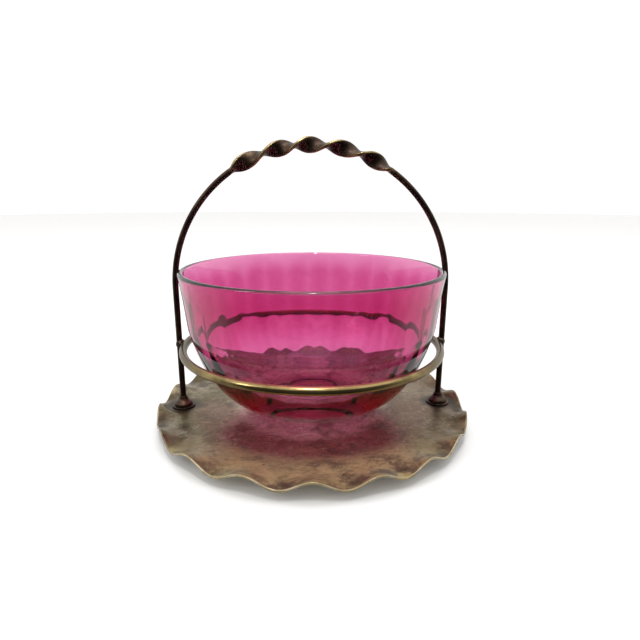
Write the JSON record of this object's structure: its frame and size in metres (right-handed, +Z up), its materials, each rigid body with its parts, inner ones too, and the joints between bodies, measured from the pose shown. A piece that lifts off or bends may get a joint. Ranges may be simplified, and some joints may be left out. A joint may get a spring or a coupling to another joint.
{
  "type": "glass bowl in plated basket stand",
  "caption": "Round ruby glass bowl standing in a plated wire basket stand with a frilled tray, a steadying ring and a twisted hoop handle; the bowl lifts out.",
  "frame": {"origin": "middle of the base, on the plane that the foot ring stands on", "axes": "+Z up the middle of the bowl; the handle's hoop lies in the XZ plane; the front is -Y"},
  "size_m": [0.1596, 0.1596, 0.1416],
  "materials": {
    "aged_plate": "worn plate over brass, brushed, tarnished",
    "dark_wire": "dark brown patina, rubbed bright on the edges",
    "ring_wire": "polished, lightly tarnished",
    "nut_brass": "dull",
    "ruby_glass": "clear glass cased with ruby, fire polished"
  },
  "bodies": {
    "stand": {"tray": "aged_plate", "foot_ring": "aged_plate", "handle": "dark_wire", "bowl_ring": "ring_wire", "ring_solder": "ring_wire", "left_foot_collar": "dark_wire", "right_foot_collar": "dark_wire", "left_collar_washer": "dark_wire", "right_collar_washer": "dark_wire", "under_washers": "nut_brass", "hold_down_nuts": "nut_brass"},
    "glass_bowl": {"bowl": "ruby_glass"}
  },
  "joints": [
    {"name": "bowl_lift", "type": "slide", "parent": "stand", "child": "glass_bowl", "axis": [0, 0, 1], "range_m": [0, 0.0025]}
  ]
}
